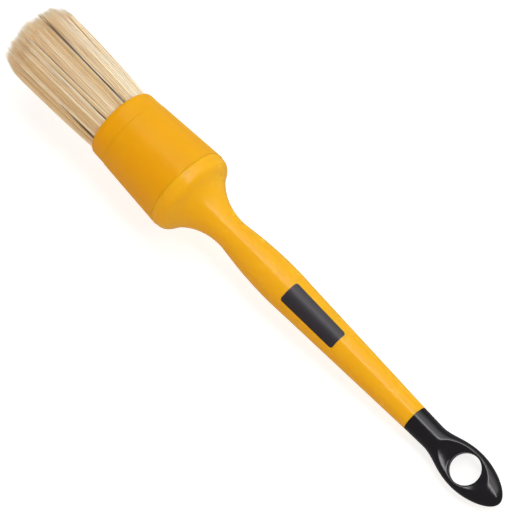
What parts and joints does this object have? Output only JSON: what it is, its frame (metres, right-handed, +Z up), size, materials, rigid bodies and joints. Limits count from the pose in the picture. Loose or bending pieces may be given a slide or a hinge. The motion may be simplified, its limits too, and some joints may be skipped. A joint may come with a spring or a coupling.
{
  "type": "round bristle brush",
  "caption": "Round natural-bristle brush with a two-part yellow ferrule, a slim turned handle and a black end cap with a round hanging eye.",
  "frame": {"origin": "centre of the lying brush's box, on the surface that it lies on", "axes": "+X along the brush from the bristle tips to the hanging eye, +Z up from the surface, so that the brush lies on the widest part of its handle and on the flat side of its end cap"},
  "size_m": [0.267, 0.0366, 0.0421],
  "materials": {
    "handle_yellow": "satin",
    "ferrule_yellow": "satin",
    "cap_black": "gloss",
    "bristle": "matte",
    "binding_band": "matte",
    "setting_resin": "gloss"
  },
  "bodies": {
    "handle_assembly": {"handle": "handle_yellow", "ferrule": "ferrule_yellow", "ferrule_collar": "ferrule_yellow", "end_cap": "cap_black", "bristle_root": "bristle", "root_band": "binding_band", "resin_plug": "setting_resin"},
    "free_bristles": {"bristle_tips": "bristle"}
  },
  "joints": [
    {"name": "bristle_sweep", "type": "hinge", "parent": "handle_assembly", "child": "free_bristles", "pos_m": [-0.09594, 0, 0.02316], "axis": [0.0864, 0, 0.9963], "range_deg": [-25, 25], "stiffness_Nm_per_rad": 0.35}
  ]
}
